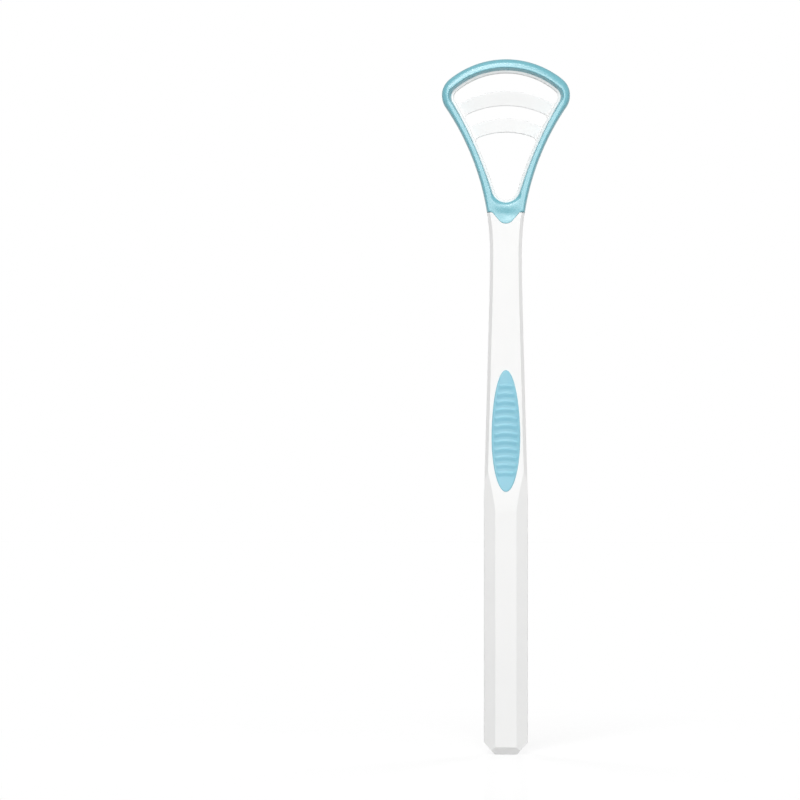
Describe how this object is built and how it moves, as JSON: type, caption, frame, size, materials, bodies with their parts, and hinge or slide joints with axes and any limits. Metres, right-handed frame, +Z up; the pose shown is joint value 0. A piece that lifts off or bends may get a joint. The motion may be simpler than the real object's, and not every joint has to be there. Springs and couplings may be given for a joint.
{
  "type": "tongue scraper",
  "caption": "Hand-held tongue scraper: faceted rigid handle with a ribbed soft thumb pad, and a fan-shaped head loop with arched scraper bars under a soft rim.",
  "frame": {"origin": "centre of the flat butt end of the handle", "axes": "+Z up along the handle from the butt to the crown of the head, -Y out of the thumb side, +X to the right as seen from the thumb side"},
  "size_m": [0.031, 0.0085, 0.168],
  "materials": {
    "rigid_white": "satin moulded polypropylene",
    "soft_blue": "satin moulded thermoplastic elastomer"
  },
  "bodies": {
    "root": {"handle": "rigid_white", "head_frame": "rigid_white", "upper_bar": "rigid_white", "lower_bar": "rigid_white", "soft_rim": "soft_blue", "thumb_pad": "soft_blue"}
  },
  "joints": []
}
